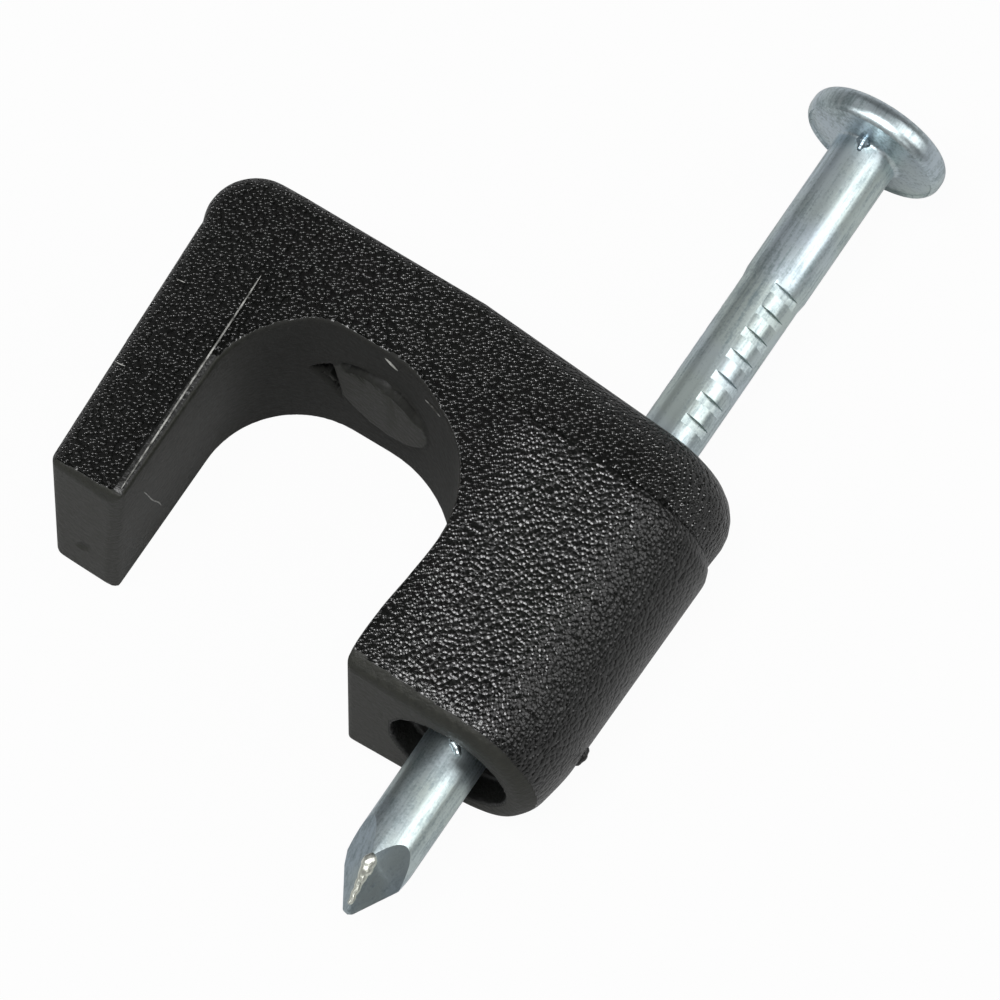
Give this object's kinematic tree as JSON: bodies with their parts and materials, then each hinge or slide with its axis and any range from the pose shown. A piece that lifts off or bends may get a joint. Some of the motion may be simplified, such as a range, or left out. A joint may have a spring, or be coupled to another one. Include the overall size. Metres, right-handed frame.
{
  "type": "nail in cable clip",
  "caption": "Hook-shaped moulded clip that holds a round coaxial cable against a wall, with a captive zinc-plated nail in the boss beside the cable channel.",
  "frame": {"origin": "where the nail axis meets the wall face of the boss", "axes": "+X from the hook arm toward the nail boss, +Y along the nail from the wall face to the head, +Z along the cable, up when the clip lies on its back"},
  "size_m": [0.016, 0.0262, 0.0068],
  "materials": {
    "clip_body": "black polyethylene, spark-eroded grain outside, smooth in the channel and on the wall face",
    "nail": "bright zinc plate, slightly bluish"
  },
  "bodies": {
    "clip": {"clip_body": "clip_body"},
    "nail": {"nail": "nail"}
  },
  "joints": [
    {"name": "nail_drive", "type": "slide", "parent": "clip", "child": "nail", "axis": [0, -1, 0], "range_m": [0, 0.01005]}
  ]
}
